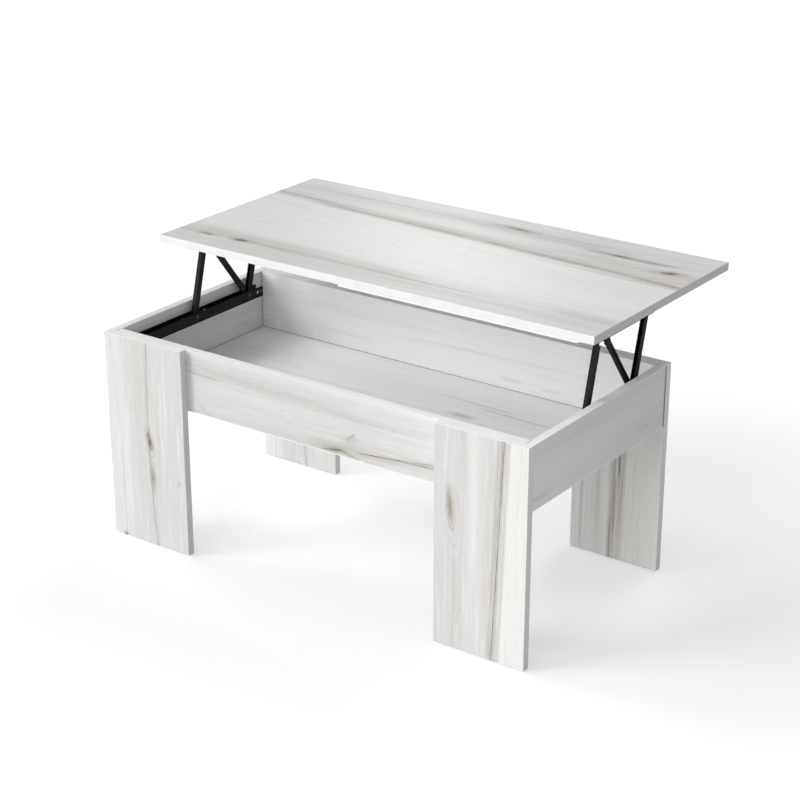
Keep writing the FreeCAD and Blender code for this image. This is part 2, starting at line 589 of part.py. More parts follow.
def make_mechanism():
    rail, bracket = base_rail(), top_bracket()
    front = turned(arm(True), FRONT_BASE_PIVOT, RAISED_ANGLE)
    rear = turned(arm(False).mirror(V(0, 0, 0), Z), REAR_BASE_PIVOT, RAISED_ANGLE)
    lower = turned(slotted_bar(), REAR_BASE_PIVOT, STAY_ANGLE)
    lower_guide = turned(stay_guide(), REAR_BASE_PIVOT, STAY_ANGLE)
    down = STAY_ANGLE + math.pi
    upper = turned(plain_bar(), STAY_TOP_PIVOT, down)
    upper_pin = turned(slot_pin(), STAY_TOP_PIVOT, down)
    pieces = {"base_rail": rail, "top_bracket": bracket, "front_arm": front, "rear_arm": rear,
              "lower_stay": lower, "lower_stay_guide": lower_guide,
              "upper_stay": upper, "upper_stay_pin": upper_pin}
    for name, shape in pieces.items():
        save(f"right_{name}", shape)
        save(f"left_{name}", mirrored(shape))

    rail_back, rail_wall = RAIL_LAYER
    bracket_back, bracket_wall = BRACKET_LAYER
    inside = ARM_LAYER[0] + ARM_SHEET + GUIDE_HEAD_GAP, ARM_LAYER[1] - ARM_SHEET - GUIDE_HEAD_GAP
    thin = (LOWER_STAY_LAYER[0] - GUIDE_HEAD_GAP, LOWER_STAY_LAYER[1] + GUIDE_HEAD_GAP)
    save("base_arm_studs", *on_both_sides([shoulder_stud(FRONT_BASE_PIVOT, rail_back)]))
    save("base_arm_pins", *on_both_sides([short_pin(FRONT_BASE_PIVOT, rail_wall)]))
    save("base_through_rivets", *on_both_sides([through_rivet(REAR_BASE_PIVOT, rail_back, rail_wall)]))
    save("base_stay_washers", *on_both_sides([sleeve(REAR_BASE_PIVOT, inside[0], thin[0], SLEEVE_R)]))
    save("base_stay_sleeves", *on_both_sides([sleeve(REAR_BASE_PIVOT, thin[1], inside[1], SLEEVE_R)]))
    save("base_pivot_washers", *on_both_sides([sleeve(p, *WASHER_LAYER, SLEEVE_R)
                                               for p in (FRONT_BASE_PIVOT, REAR_BASE_PIVOT)]))
    save("top_through_rivets",
         *on_both_sides([through_rivet(FRONT_TOP_PIVOT, bracket_back, bracket_wall)]))
    save("top_arm_studs", *on_both_sides([shoulder_stud(REAR_TOP_PIVOT, bracket_back)]))
    save("top_arm_pins", *on_both_sides([short_pin(REAR_TOP_PIVOT, bracket_wall)]))
    save("top_stay_rivets", *on_both_sides([stay_top_rivet()]))
    save("top_stay_sleeves", *on_both_sides([sleeve(STAY_TOP_PIVOT, UPPER_STAY_LAYER[1] + GUIDE_HEAD_GAP,
                                                    bracket_wall - SHEET, STAY_SPACER_R)]))
    save("top_pivot_washers", *on_both_sides([sleeve(p, *WASHER_LAYER, SLEEVE_R)
                                              for p in (FRONT_TOP_PIVOT, REAR_TOP_PIVOT)]))

    size = (MOUNT_SCREW_LENGTH, MOUNT_SCREW_R, MOUNT_SCREW_HEAD_R, MOUNT_SCREW_HEAD)
    save("rail_screws", *on_both_sides([pan_screw(at, X, *size) for at in rail_screw_seats()]))
    save("bracket_screws", *on_both_sides([pan_screw(at, Z, *size) for at in bracket_screw_seats()]))


def make_top():
    half_x, half_y = TOP_LENGTH / 2, TOP_DEPTH / 2
    z = (RAISED_UNDERSIDE, RAISED_HEIGHT)
    back, front = TOP_SHIFT - half_y, TOP_SHIFT + half_y
    core = box((EDGE_BAND - half_x, half_x - EDGE_BAND), (back + EDGE_BAND, front - EDGE_BAND), z)
    bores = [screw_bore(at, Z, MOUNT_SCREW_LENGTH, MOUNT_SCREW_R) for at in bracket_screw_seats()]
    save("top_panel", drilled(core, on_both_sides(bores)))
    long_bands = []
    for outer, inner in ((back, back + EDGE_BAND), (front, front - EDGE_BAND)):
        band = box((-half_x, half_x), sorted((outer, inner)), z)
        long_bands.append(round_edges(band, BAND_ROUND, lambda p: abs(p.y - outer) < 0.01
                                      and abs(p.x) < 0.01))
    end = box((half_x - EDGE_BAND, half_x), (back + EDGE_BAND, front - EDGE_BAND), z)
    end = round_edges(end, BAND_ROUND, lambda p: abs(p.x - half_x) < 0.01 and abs(p.y - TOP_SHIFT) < 0.01)
    save("top_edge_bands", *long_bands, *on_both_sides([end]))


def describe_motion():
    """Prints the pivots in the part's frame and the joint ranges."""
    pivots = {"front base": FRONT_BASE_PIVOT, "rear base": REAR_BASE_PIVOT, "front top": FRONT_TOP_PIVOT,
              "rear top": REAR_TOP_PIVOT, "stay top": STAY_TOP_PIVOT}
    for name, pivot in pivots.items():
        print(f"{name} pivot: y {pivot.y - ORIGIN_Y:.4f}, z {pivot.z:.4f}")
    print(f"arm angle raised {math.degrees(RAISED_ANGLE):.4f}, closed {math.degrees(CLOSED_ANGLE):.4f}")
    print(f"travel {math.degrees(CLOSED_ANGLE - RAISED_ANGLE):.4f}, top shift {TOP_SHIFT:.4f}")
    print(f"origin y {ORIGIN_Y:.4f}, stay {STAY_RAISED:.3f} to {STAY_CLOSED:.3f}")


os.makedirs("parts", exist_ok=True)
make_box()
make_legs()
make_mechanism()
make_top()
describe_motion()
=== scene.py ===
import math

import bpy
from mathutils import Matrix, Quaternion, Vector


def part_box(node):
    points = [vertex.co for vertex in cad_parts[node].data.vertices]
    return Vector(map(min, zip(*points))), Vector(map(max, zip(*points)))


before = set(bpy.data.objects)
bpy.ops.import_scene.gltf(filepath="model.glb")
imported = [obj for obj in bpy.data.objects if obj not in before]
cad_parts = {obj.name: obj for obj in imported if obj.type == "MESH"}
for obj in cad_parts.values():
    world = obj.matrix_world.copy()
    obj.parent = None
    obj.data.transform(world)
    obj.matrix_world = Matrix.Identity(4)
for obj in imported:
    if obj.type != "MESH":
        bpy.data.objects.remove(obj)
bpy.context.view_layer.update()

# ---- linear colours ----
# Marks of the print.
CREAM = (0.850, 0.850, 0.828)
COOL = (0.700, 0.705, 0.715)
ASH = (0.620, 0.620, 0.615)
BEIGE = (0.610, 0.580, 0.545)
TAUPE = (0.400, 0.360, 0.320)
BROWN = (0.165, 0.135, 0.100)
DARK = (0.060, 0.045, 0.035)

# Ground tones of the boards, and the light tone of the fibres on the plainer ones.
# The boards share one decor. Their ground tones are set apart to match how bright each board looks,
# so they hold painted light and shade: the rear apron, the bottom board and the rear left leg, which
# stand in shade, are painted lighter, and the front legs, the front apron and the left side panel darker.
TOP_WHITE = (0.876, 0.878, 0.874)
FRONT_APRON_PAINTED_SHADE_WHITE = (0.746, 0.748, 0.748)
REAR_APRON_PAINTED_LIGHT_WHITE = (0.945, 0.947, 0.950)
REAR_APRON_FIBRE = (0.980, 0.980, 0.985)
LEFT_SIDE_PAINTED_SHADE_GREY = (0.690, 0.692, 0.694)
RIGHT_SIDE_GREY = (0.748, 0.750, 0.752)
SIDE_FIBRE = (0.750, 0.750, 0.750)
BOTTOM_PAINTED_LIGHT_WHITE = (0.930, 0.932, 0.936)
BOTTOM_FIBRE = (0.965, 0.965, 0.970)
FRONT_LEG_PAINTED_SHADE_WHITE = (0.668, 0.670, 0.670)
REAR_LEFT_LEG_PAINTED_LIGHT_WHITE = (0.795, 0.797, 0.797)

# Edge bands.
BAND_WHITE = (0.865, 0.865, 0.858)
BAND_SHADE = (0.825, 0.825, 0.820)
LEG_SIDE_BAND = (0.665, 0.665, 0.665)
TOP_SIDE_BAND = (0.495, 0.495, 0.495)
BAND_JOINT = (0.260, 0.240, 0.220)

MM_PER_M = 1000.0
AXIS_X, AXIS_Y, AXIS_Z = 0, 1, 2


class Graph:
    """A material's nodes, made by short calls. Most calls return an output socket."""

    SOCKETS = {"color": "Base Color", "roughness": "Roughness", "metallic": "Metallic",
               "specular": "Specular IOR Level", "glow": "Emission Color",
               "glow_strength": "Emission Strength"}

    def __init__(self, name):
        self.material = bpy.data.materials.new(name)
        self.material.use_nodes = True
        self.tree = self.material.node_tree
        self.shader = self.tree.nodes["Principled BSDF"]

    def node(self, kind, **settings):
        made = self.tree.nodes.new(kind)
        for key, value in settings.items():
            setattr(made, key, value)
        return made

    def feed(self, socket, value):
        if isinstance(value, bpy.types.NodeSocket):
            self.tree.links.new(value, socket)
        elif isinstance(value, tuple) and len(value) == 3 and len(socket.default_value) == 4:
            socket.default_value = (*value, 1.0)
        else:
            socket.default_value = value

    def math(self, operation, *values):
        made = self.node("ShaderNodeMath", operation=operation)
        for socket, value in zip(made.inputs, values):
            self.feed(socket, value)
        return made.outputs[0]

    def sub(self, a, b):
        return self.math("SUBTRACT", a, b)

    def mul(self, a, b):
        return self.math("MULTIPLY", a, b)

    def mul_add(self, a, b, c):
        return self.math("MULTIPLY_ADD", a, b, c)

    def step(self, value, low, high):
        """0 at low, 1 at high, and smooth between them; low may be above high."""
        made = self.node("ShaderNodeMapRange", interpolation_type="SMOOTHSTEP")
        flip = low > high
        first, last = (high, low) if flip else (low, high)
        for socket, number in zip(made.inputs, (value, first, last, float(flip), float(not flip))):
            self.feed(socket, number)
        return made.outputs[0]

    def vector(self, x, y, z=0.0):
        made = self.node("ShaderNodeCombineXYZ")
        for socket, value in zip(made.inputs, (x, y, z)):
            self.feed(socket, value)
        return made.outputs[0]

    def position(self):
        """The point on the object as one vector, in metres."""
        return self.node("ShaderNodeTexCoord").outputs["Object"]

    def place(self):
        """The same point as X, Y and Z."""
        parts = self.node("ShaderNodeSeparateXYZ")
        self.feed(parts.inputs[0], self.position())
        return parts.outputs

    def noise(self, vector, scale, detail, roughness):
        made = self.node("ShaderNodeTexNoise")
        values = {"Vector": vector, "Scale": scale, "Detail": detail, "Roughness": roughness}
        for key, value in values.items():
            self.feed(made.inputs[key], value)
        return made.outputs[0]

    def mix(self, factor, first, second, blend="MIX"):
        """first at factor 0, second at factor 1."""
        made = self.node("ShaderNodeMix", data_type="RGBA", blend_type=blend)
        for index, value in ((0, factor), (6, first), (7, second)):
            self.feed(made.inputs[index], value)
        return made.outputs[2]

    def bump(self, height, distance, strength):
        made = self.node("ShaderNodeBump")
        made.inputs["Strength"].default_value = strength
        made.inputs["Distance"].default_value = distance
        self.feed(made.inputs["Height"], height)
        self.feed(self.shader.inputs["Normal"], made.outputs[0])

    def surface(self, **values):
        for key, value in values.items():
            self.feed(self.shader.inputs[self.SOCKETS[key]], value)
        return self.material


# ---- the wood print ----
# Every mark is placed in millimetres on its board: s runs along the grain, t across it.


def path(c0, c1=0.0, c2=0.0):
    """The place t of a mark at s: c0, plus c1 times s, plus c2 times s squared."""
    return c0, c1, c2


def stripe(at, half, soft, color, strength, span=None, fade=40.0, streaky=0.5):
    """A soft band along a path; span is where it starts and ends along the grain."""
    return {"at": at, "half": half, "soft": soft, "color": color, "strength": strength,
            "span": span, "fade": fade, "streaky": streaky}


def side_of(at, soft, color, strength, above=True, streaky=0.3):
    """A tone over all of the board on one side of a path."""
    return {"at": at, "soft": soft, "color": color, "strength": strength, "above": above, "streaky": streaky}


def crack(at, width, span, strength=0.6, fade=25.0, shade=0.3, wobble=1.5):
    """A thin uneven dark line with a faint shade beside it."""
    return {"at": at, "width": width, "span": span, "strength": strength, "fade": fade, "shade": shade,
            "wobble": wobble}


def knot(s, t, long, wide, heart=0.6, halo=0.4, tilt=0.0):
    """A dark ragged knot in a paler halo, which parts the grain round it."""
    return {"s": s, "t": t, "long": long, "wide": wide, "heart": heart, "halo": halo, "tilt": tilt}


def eye(s, t, long, wide, line=0.4, tint=0.2, tilt=0.0):
    """A thin oval growth line with a tinted inside."""
    return {"s": s, "t": t, "long": long, "wide": wide, "line": line, "tint": tint, "tilt": tilt}


def arches(s, t, reach, wide, spacing, strength):
    """Nested arched grain lines."""
    return {"s": s, "t": t, "reach": reach, "wide": wide, "spacing": spacing, "strength": strength}


def cloud(s, t, long, wide, tilt, outside):
    """A painted pool of light: the board's colour is multiplied darker outside a broad oval; outside is the
    tone beyond it, against 1 at its middle.
    """
    return {"s": s, "t": t, "long": long, "wide": wide, "tilt": tilt, "outside": outside}


def seam(at, upright=False, width=2.0, strength=0.75):
    """The dark line of a joint with the next board, at t, or at s where it is upright."""
    return {"at": at, "upright": upright, "width": width, "strength": strength}


class Print(Graph):
    """One board's printed wood, on its own coordinates."""

    def __init__(self, name, origin, grain, across, seed):
        super().__init__(name)
        place = self.place()
        self.s = self.mul_add(place[grain], MM_PER_M, -MM_PER_M * origin[grain])
        self.t = self.mul_add(place[across], MM_PER_M, -MM_PER_M * origin[across])
        self.seed = seed

    def field(self, along, across, detail, roughness, offset=0.0, t=None):
        """Noise whose features are about 1/along mm long and 1/across mm wide. offset keeps the fields of
        a board apart, and t is the across coordinate where it isn't the board's own."""
        where = self.vector(self.mul(self.s, along), self.mul(self.t if t is None else t, across),
                            self.seed + offset)
        return self.noise(where, 1.0, detail, roughness)

    def curve(self, at):
        """The t of a path at every s."""
        c0, c1, c2 = at
        slope = self.mul_add(self.s, c2, c1) if c2 else c1
        return self.mul_add(self.s, slope, c0) if (c1 or c2) else c0

    def window(self, span, fade):
        """1 within a span of s, with soft ends."""
        rise = self.step(self.s, span[0] - fade, span[0] + fade)
        fall = self.step(self.s, span[1] + fade, span[1] - fade)
        return self.mul(rise, fall)

    def lay_stripe(self, color, mark):
        away = self.math("ABSOLUTE", self.sub(self.loose, self.curve(mark["at"])))
        mask = self.step(away, mark["half"] + mark["soft"], max(mark["half"] - mark["soft"], 0.0))
        if mark["span"]:
            mask = self.mul(mask, self.window(mark["span"], mark["fade"]))
        mask = self.mul(mask, self.mul_add(self.streaks, mark["streaky"], 1.0 - mark["streaky"]))
        return self.mix(self.mul(mask, mark["strength"]), color, mark["color"])

    def lay_side(self, color, mark):
        away = self.sub(self.loose, self.curve(mark["at"]))
        ends = (-mark["soft"], mark["soft"]) if mark["above"] else (mark["soft"], -mark["soft"])
        streaks = self.mul_add(self.streaks, mark["streaky"], 1.0 - mark["streaky"])
        mask = self.mul(self.step(away, *ends), streaks)
        return self.mix(self.mul(mask, mark["strength"]), color, mark["color"])

    def lay_crack(self, color, mark):
        middle = self.mul_add(self.sway, 2.0 * mark["wobble"], self.t)
        away = self.math("ABSOLUTE", self.sub(middle, self.curve(mark["at"])))
        width = mark["width"]
        thick = self.mul_add(self.swell, 1.3 * width, 0.1 * width)
        mask = self.step(self.math("DIVIDE", away, thick), 1.25, 0.35)
        mask = self.mul(mask, self.window(mark["span"], mark["fade"]))
        mask = self.mul(mask, self.mul_add(self.broken, 0.6, 0.4))
        beside = self.step(away, 5.0 * width + 3.0, 0.0)
        beside = self.mul(beside, self.window(mark["span"], 1.5 * mark["fade"]))
        beside = self.mul(beside, self.mul_add(self.streaks, 0.6, 0.4))
        color = self.mix(self.mul(beside, mark["shade"]), color, TAUPE)
        return self.mix(self.mul(mask, mark["strength"]), color, BROWN)

    def oval(self, mark):
        """Distance from a mark's centre, 1 on its outline."""
        ds, dt = self.sub(self.s, mark["s"]), self.sub(self.t, mark["t"])
        c, n = math.cos(math.radians(mark["tilt"])), math.sin(math.radians(mark["tilt"]))
        along = self.mul(self.mul_add(dt, n, self.mul(ds, c)), 1.0 / mark["long"])
        across = self.mul(self.mul_add(ds, -n, self.mul(dt, c)), 1.0 / mark["wide"])
        return self.math("SQRT", self.mul_add(along, along, self.mul(across, across)))

    def lay_knot(self, color, mark):
        near = self.mul_add(self.ragged, 0.75, self.oval(mark))
        color = self.mix(self.mul(self.step(near, 2.8, 0.6), mark["halo"]), color, TAUPE)
        outline = self.step(self.math("ABSOLUTE", self.sub(near, 1.0)), 0.28, 0.05)
        color = self.mix(self.mul(outline, 0.65 * mark["heart"]), color, BROWN)
        mottle = self.mul(self.step(near, 1.15, 0.6), self.mul_add(self.speck, 0.75, 0.25))
        color = self.mix(self.mul(mottle, mark["heart"]), color, BROWN)
        core = self.step(self.mul_add(self.ragged, 1.2, near), 0.60, 0.2)
        return self.mix(self.mul(core, 0.8 * mark["heart"]), color, DARK)

    def lay_eye(self, color, mark):
        near = self.mul_add(self.ragged, 0.18, self.oval(mark))
        color = self.mix(self.mul(self.step(near, 1.1, 0.5), mark["tint"]), color, BEIGE)
        line = self.step(self.math("ABSOLUTE", self.sub(near, 1.0)), 0.13, 0.02)
        line = self.mul(line, self.mul_add(self.broken, 0.5, 0.5))
        return self.mix(self.mul(line, mark["line"]), color, TAUPE)

    def lay_arches(self, color, mark):
        ds = self.sub(self.s, mark["s"])
        dt = self.mul(self.sub(self.loose, mark["t"]), 1.0 / mark["wide"])
        bend = self.mul(dt, dt)
        level = self.mul_add(bend, mark["reach"] * 0.8, ds)
        level = self.mul_add(self.ragged, mark["spacing"] * 1.1, level)
        line = self.step(self.math("SINE", self.mul(level, 2.0 * math.pi / mark["spacing"])), 0.45, 0.98)
        inside = self.mul(self.step(bend, 1.0, 0.35),
                          self.step(self.math("ABSOLUTE", ds), mark["reach"], mark["reach"] * 0.45))
        line = self.mul(line, self.mul_add(self.broken, 0.5, 0.5))
        return self.mix(self.mul(self.mul(line, inside), mark["strength"]), color, BEIGE)

    def lay_light_pool(self, color, mark):
        # Painted light and shade: multiplies the colour down outside the pool.
        tone = self.mul_add(self.step(self.oval(mark), 1.0, 0.0), 1.0 - mark["outside"], mark["outside"])
        return self.mix(1.0, color, tone, "MULTIPLY")

    def lay_seam(self, color, mark):
        away = self.math("ABSOLUTE", self.sub(self.s if mark["upright"] else self.t, mark["at"]))
        line = self.step(away, mark["width"], 0.4 * mark["width"])
        return self.mix(self.mul(line, mark["strength"]), color, BROWN)

    def loosen(self, knots):
        """The across coordinate with the grain's slow drift, parted round the knots."""
        drift_mm, ripple_mm = 14.0, 3.0
        knot_pull, knot_fall_off = 0.62, 0.16
        drift = self.sub(self.field(0.0022, 0.010, 1.0, 0.5, offset=11.0), 0.5)
        loose = self.mul_add(drift, drift_mm, self.t)
        ripple = self.sub(self.field(0.011, 0.03, 2.0, 0.5, offset=13.0), 0.5)
        loose = self.mul_add(ripple, ripple_mm, loose)
        for mark in knots:
            away = self.math("POWER", self.oval(mark), 2.0)
            pull = self.math("EXPONENT", self.mul(away, -knot_fall_off))
            loose = self.mul_add(self.mul(pull, -knot_pull), self.sub(self.t, mark["t"]), loose)
        self.loose = loose

    def prepare(self, knots):
        """The noise fields that all the marks of a board share."""
        self.loosen(knots)
        self.streaks = self.step(self.field(0.0045, 0.33, 3.0, 0.6, offset=2.0, t=self.loose), 0.34, 0.66)
        self.sway = self.sub(self.field(0.022, 0.004, 3.0, 0.6, offset=50.0), 0.5)
        self.swell = self.field(0.05, 0.012, 2.0, 0.6, offset=53.0)
        self.broken = self.step(self.field(0.035, 0.02, 3.0, 0.65, offset=57.0), 0.30, 0.50)
        self.ragged = self.sub(self.field(0.10, 0.18, 3.0, 0.65, offset=60.0), 0.5)
        self.speck = self.step(self.field(0.25, 0.5, 2.0, 0.6, offset=63.0), 0.35, 0.62)

    def grain(self, color, light, depth):
        """Fibres, fine dashes and pores, printed over the broad tones. light is the tone of the light
        fibres, and depth the strength of the dark ones."""
        fibre = self.field(0.0065, 0.16, 3.0, 0.6, offset=5.0, t=self.loose)
        color = self.mix(self.mul(self.step(fibre, 0.50, 0.72), 0.26 * depth), color, BEIGE)
        color = self.mix(self.mul(self.step(fibre, 0.50, 0.30), 0.45), color, light)
        dashes = self.field(0.055, 0.95, 3.0, 0.65, offset=3.0, t=self.loose)
        color = self.mix(self.mul(self.step(dashes, 0.46, 0.74), 0.20 * depth), color, TAUPE)
        color = self.mix(self.mul(self.step(dashes, 0.48, 0.30), 0.30), color, light)
        pores = self.step(self.field(0.06, 1.9, 1.0, 0.5, offset=4.0, t=self.loose), 0.68, 0.80)
        color = self.mix(self.mul(pores, 0.22 * depth), color, TAUPE)
        relief = self.mul_add(pores, -1.0, self.mul(dashes, 0.6))
        self.bump(relief, distance=0.00010, strength=0.5)
        return color, dashes

    def build(self, base, veil, shade=COOL, stripes=(), sides=(), cracks=(), knots=(), eyes=(), arcs=(),
              clouds=(), seams=(), light=CREAM, depth=1.0, roughness=0.46, specular=0.5):
        """The board's material. veil is the strength of the broad areas of shade on the base tone."""
        self.prepare(knots)
        broad = self.step(self.field(0.0012, 0.024, 2.0, 0.5, offset=1.0, t=self.loose), 0.36, 0.70)
        color = self.mix(self.mul(broad, veil), base, shade)
        under = ((self.lay_side, sides), (self.lay_stripe, stripes), (self.lay_arches, arcs))
        over = ((self.lay_eye, eyes), (self.lay_crack, cracks), (self.lay_knot, knots),
                (self.lay_light_pool, clouds), (self.lay_seam, seams))
        color = self.lay_all(color, under)
        color, dashes = self.grain(color, light, depth)
        color = self.lay_all(color, over)
        return self.surface(color=color, roughness=self.mul_add(dashes, 0.10, roughness - 0.05),
                            specular=specular)

    @staticmethod
    def lay_all(color, layers):
        for lay, marks in layers:
            for mark in marks:
                color = lay(color, mark)
        return color


def origin_of(node):
    """Middle of a board in X and Y, and its lower edge in Z."""
    low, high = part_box(node)
    return (low.x + high.x) / 2, (low.y + high.y) / 2, low.z


def paint(material, *nodes):
    """Gives CAD nodes one material all over."""
    for name in nodes:
        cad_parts[name].data.materials.clear()
        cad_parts[name].data.materials.append(material)


def wood_board(node, grain, across, seed, **marks):
    """Prints a board; grain and across are the axes that s and t follow."""
    board = Print(f"wood_{node}", origin_of(node), grain, across, seed)
    paint(board.build(**marks), node)


def paint_top():
    main = path(93, -0.052, -0.000030)
    wood_board(
        "top_panel", AXIS_X, AXIS_Y, seed=1.7, veil=0.22, base=TOP_WHITE, roughness=0.52, specular=0.30,
        sides=[side_of(main, 4, COOL, 0.80),
               side_of(path(-150, -0.01), 20, ASH, 0.60, above=False)],
        stripes=[stripe(path(86, -0.052, -0.000030), 6, 6, TAUPE, 0.42, (-380, 540), 60, 0.6),
                 stripe(path(105, -0.050), 11, 10, BEIGE, 0.80),
                 stripe(path(192, 0.01), 16, 14, BEIGE, 0.36, (-520, -60), 90, 0.6),
                 stripe(path(190, -0.02), 14, 12, BEIGE, 0.95, (-60, 300), 90, 0.6),
                 stripe(path(128, -0.03), 20, 14, TAUPE, 0.42, (230, 540), 80, 0.7),
                 stripe(path(176, -0.02), 10, 10, TAUPE, 0.30, (-120, 460), 90, 0.7),
                 stripe(path(140, 0.0), 13, 11, CREAM, 0.6, (-300, 100), 120, 0.4),
                 stripe(path(232, 0.0), 10, 10, CREAM, 0.5, (-420, 0), 120, 0.4),
                 stripe(path(-172, -0.01), 20, 10, BEIGE, 0.46, (-480, 80), 60, 0.4),
                 stripe(path(-190, -0.01), 7, 6, TAUPE, 0.25, (-520, -180), 60, 0.6),
                 stripe(path(-205, -0.01), 8, 8, BEIGE, 0.6, (-60, 480), 80, 0.5),
                 stripe(path(-176, 0.0), 12, 10, BEIGE, 0.7, (380, 520), 40, 0.3),
                 stripe(path(113, 0.0), 8, 10, BEIGE, 0.50, streaky=0.6),
                 stripe(path(160, -0.01), 6, 10, TAUPE, 0.35, (235, 430), 30, 0.5),
                 stripe(path(88, -0.055), 7, 8, TAUPE, 0.50, (390, 540), 30, 0.4)],
        cracks=[crack(main, 2.6, (-355, 520), 0.62, 50, 0.45),
                crack(path(66, -0.045), 1.2, (180, 520), 0.32, 60),
                crack(path(96, -0.070), 1.6, (-560, -300), 0.38, 30),
                crack(path(-184, -0.008), 1.1, (-310, 210), 0.55, 60),
                crack(path(-197, -0.01), 1.0, (-520, -440), 0.35, 30),
                crack(path(162, -0.005), 1.6, (245, 425), 0.90, 22, 0.4),
                crack(path(170, -0.040), 1.1, (290, 400), 0.70, 20, 0.2),
                crack(path(86, -0.050, -0.00003), 1.1, (-60, 330), 0.45, 60, 0.2),
                crack(path(190, 0.0), 1.1, (-500, -60), 0.30, 60, 0.15),
                crack(path(186, 0.04), 1.1, (150, 520), 0.30, 60, 0.15)],
        knots=[knot(62, 193, 24, 4.5, 0.40, 0.55, -4), knot(315, 160, 20, 3.5, 0.60, 0.4),
               knot(441, 124, 15, 6.5, 0.75, 0.4, 14), knot(-345, -184, 15, 5.5, 0.80, 0.4, 6),
               knot(-428, -189, 15, 4.5, 0.50, 0.35)],
        eyes=[eye(62, 193, 52, 11, 0.3, 0.3), eye(441, 124, 34, 14, 0.35, 0.3, 10),
              eye(-345, -184, 34, 11, 0.3, 0.3)],
        arcs=[arches(-250, 178, 170, 34, 26, 0.35)],
        # Painted sheen: a broad pool of light over the middle of the top, darker towards its ends.
        clouds=[cloud(10, 0, 1500, 375, 128.7, 0.82)])


def paint_aprons():
    wood_board(
        "front_apron", AXIS_X, AXIS_Z, seed=4.3, veil=0.30, base=FRONT_APRON_PAINTED_SHADE_WHITE,
        sides=[side_of(path(14, 0.02), 10, BEIGE, 0.35, above=False),
               side_of(path(115, 0.0), 7, CREAM, 0.95)],
        stripes=[stripe(path(84, -0.025, 0.00003), 6, 15, BEIGE, 0.80, (-330, 130), 80, 0.8),
                 stripe(path(80, 0.02), 5, 8, BEIGE, 0.6, (60, 300), 60, 0.5),
                 stripe(path(60, 0.0), 14, 12, CREAM, 0.5, (-280, 60), 100, 0.4),
                 stripe(path(10, 0.03), 10, 9, BEIGE, 0.85, (10, 170), 45, 0.5),
                 stripe(path(6, 0.075), 7, 7, TAUPE, 0.32, (20, 110), 25, 0.6),
                 stripe(path(27, 0.01), 5, 6, BEIGE, 0.60, (60, 250), 30, 0.5),
                 stripe(path(-10, 0.125), 6, 6, TAUPE, 0.28, (170, 310), 35, 0.5)],
        cracks=[crack(path(69, -0.045), 0.9, (-296, -215), 0.45, 12),
                crack(path(3, 0.11, -0.0001), 1.2, (120, 300), 0.90, 14, 0.3),
                crack(path(-2, 0.12), 1.2, (165, 290), 0.60, 20, 0.3),
                crack(path(0, 0.12), 1.4, (38, 84), 0.95, 8, 0.4, wobble=3.0),
                crack(path(24, -0.20), 1.1, (74, 118), 0.80, 8),
                crack(path(-38, 0.80), 1.1, (89, 108), 0.75, 4, wobble=6.0)],
        knots=[knot(64, 8, 13, 3.0, 0.6, 0.5, 9)],
        eyes=[eye(-254, 15, 5.4, 4.4, 0.95, 0.1), eye(-246, 5, 14, 2.0, 0.5, 0.3, -20),
              eye(100, 36, 8, 5, 0.45, 0.3, 30), eye(100, 36, 14, 9, 0.25, 0.3, 30)],
        # Painted light: the apron is lighter towards its right end.
        clouds=[cloud(420, 60, 440, 440, 0.0, 0.865)])
    corner = MM_PER_M * (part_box("left_side_panel")[1].x - origin_of("rear_apron")[AXIS_X])
    wood_board(
        "rear_apron", AXIS_X, AXIS_Z, seed=9.1, veil=0.08, base=REAR_APRON_PAINTED_LIGHT_WHITE,
        light=REAR_APRON_FIBRE, depth=0.5,
        seams=[seam(0), seam(corner, True), seam(-corner, True)],
        stripes=[stripe(path(84, 0.01), 9, 10, BEIGE, 0.15, (-460, -40), 100, 0.5),
                 # Painted shade: a flat grey band along the lower part of the left end, darkening the
                 # corner.
                 stripe(path(5, 0.0), 30, 30, ASH, 0.40, (-600, -310), 90, 0.0),
                 stripe(path(24, 0.0), 3, 4, TAUPE, 0.30, (130, 180), 15, 0.5),
                 stripe(path(21, 0.0), 3, 4, TAUPE, 0.30, (228, 262), 12, 0.5)],
        cracks=[crack(path(26, -0.02), 0.8, (-310, -180), 0.2, 30, 0.1),
                crack(path(60, 0.02), 1.0, (-60, 330), 0.15, 60, 0.1)])


def paint_side_panels():
    rear_end = MM_PER_M * (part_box("left_side_panel")[1].y - origin_of("left_side_panel")[AXIS_Y])
    # A dark joint line at each side panel's rear end, widened and darkened to paint the shadow in the gap
    # before the rear leg.
    rear_gap_shade_seam = seam(rear_end, True, 4.5, 0.9)
    own = {"left_side_panel": dict(seed=12.4, base=LEFT_SIDE_PAINTED_SHADE_GREY, seams=[seam(0), rear_gap_shade_seam]),
           "right_side_panel": dict(seed=15.8, base=RIGHT_SIDE_GREY, seams=[rear_gap_shade_seam],
                                    # Painted shade: the right side panel is darker towards its rear end and
                                    # its upper edge, under the raised top.
                                    clouds=[cloud(-260, -20, 620, 260, 0.0, 0.84)])}
    for name, look in own.items():
        wood_board(
            name, AXIS_Y, AXIS_Z, **look, veil=0.30, shade=ASH, light=SIDE_FIBRE, depth=0.6,
            stripes=[stripe(path(24, 0.0), 4, 5, TAUPE, 0.35, (130, 180), 18, 0.6),
                     stripe(path(96, -0.01), 8, 10, BEIGE, 0.35, (-180, 60), 70, 0.5)],
            cracks=[crack(path(19, 0.0), 0.8, (-240, -180), 0.30, 15),
                    crack(path(47, 0.0), 0.7, (60, 210), 0.15, 40, 0.1)])


